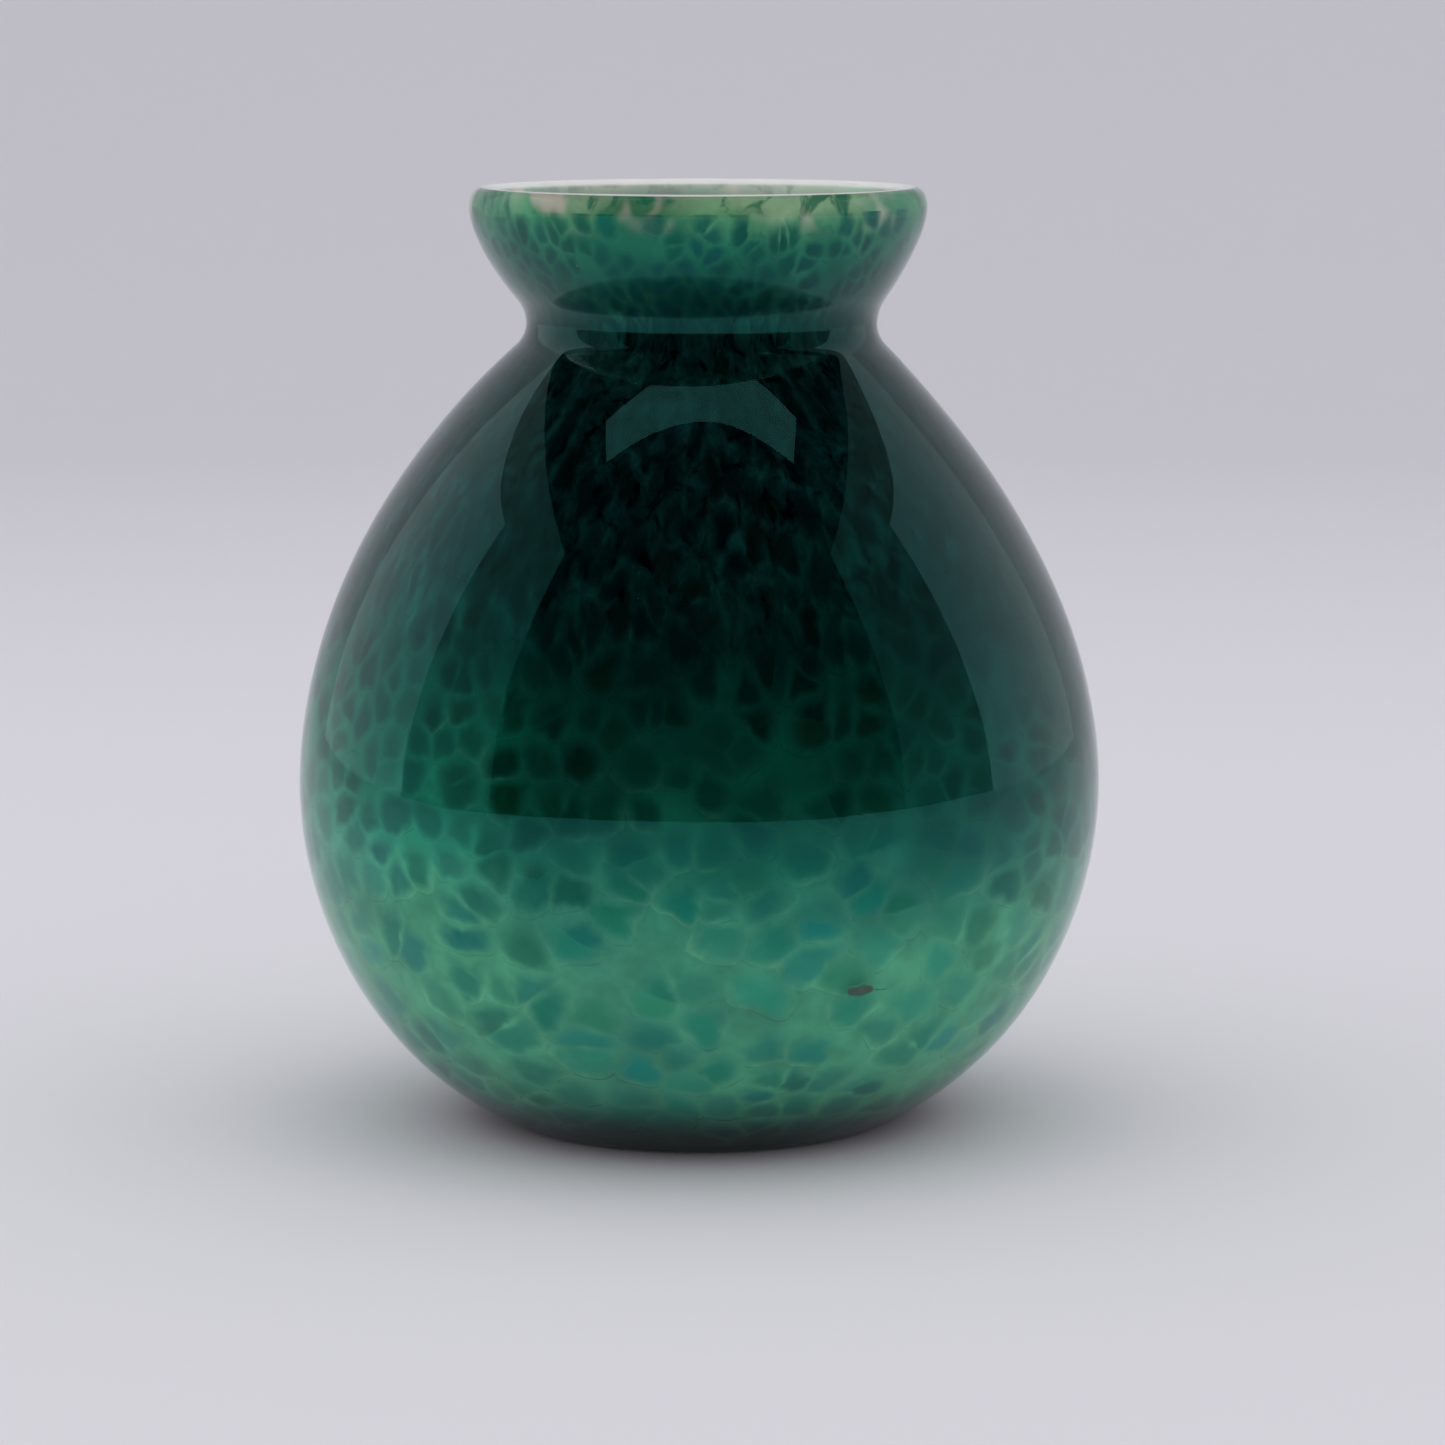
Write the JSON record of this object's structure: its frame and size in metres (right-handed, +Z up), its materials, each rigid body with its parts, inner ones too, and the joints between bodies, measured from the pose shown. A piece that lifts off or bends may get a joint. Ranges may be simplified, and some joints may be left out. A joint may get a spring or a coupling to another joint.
{
  "type": "art glass vase",
  "caption": "Round-bellied hand blown vase with a grooved neck and cupped collar, cased in clear glass over green frit and a white opal lining.",
  "frame": {"origin": "centre of the foot, on the surface the vase stands on", "axes": "+Z up along the axis of the vessel, +X right and -Y towards the viewer"},
  "size_m": [0.163, 0.163, 0.19],
  "materials": {
    "clear_glass": "clear, glossy, fire polished",
    "ground_glass": "translucent yellow-green",
    "opal_glass": "white opal, glossy",
    "emerald_glass": "transparent emerald",
    "teal_glass": "transparent teal",
    "olive_glass": "transparent olive",
    "stone": "reddish brown inclusion"
  },
  "bodies": {
    "root": {"clear_casing": "clear_glass", "colour_ground": "ground_glass", "opal_lining": "opal_glass", "frit_emerald": "emerald_glass", "frit_teal": "teal_glass", "frit_olive": "olive_glass", "brown_stone": "stone"}
  },
  "joints": []
}
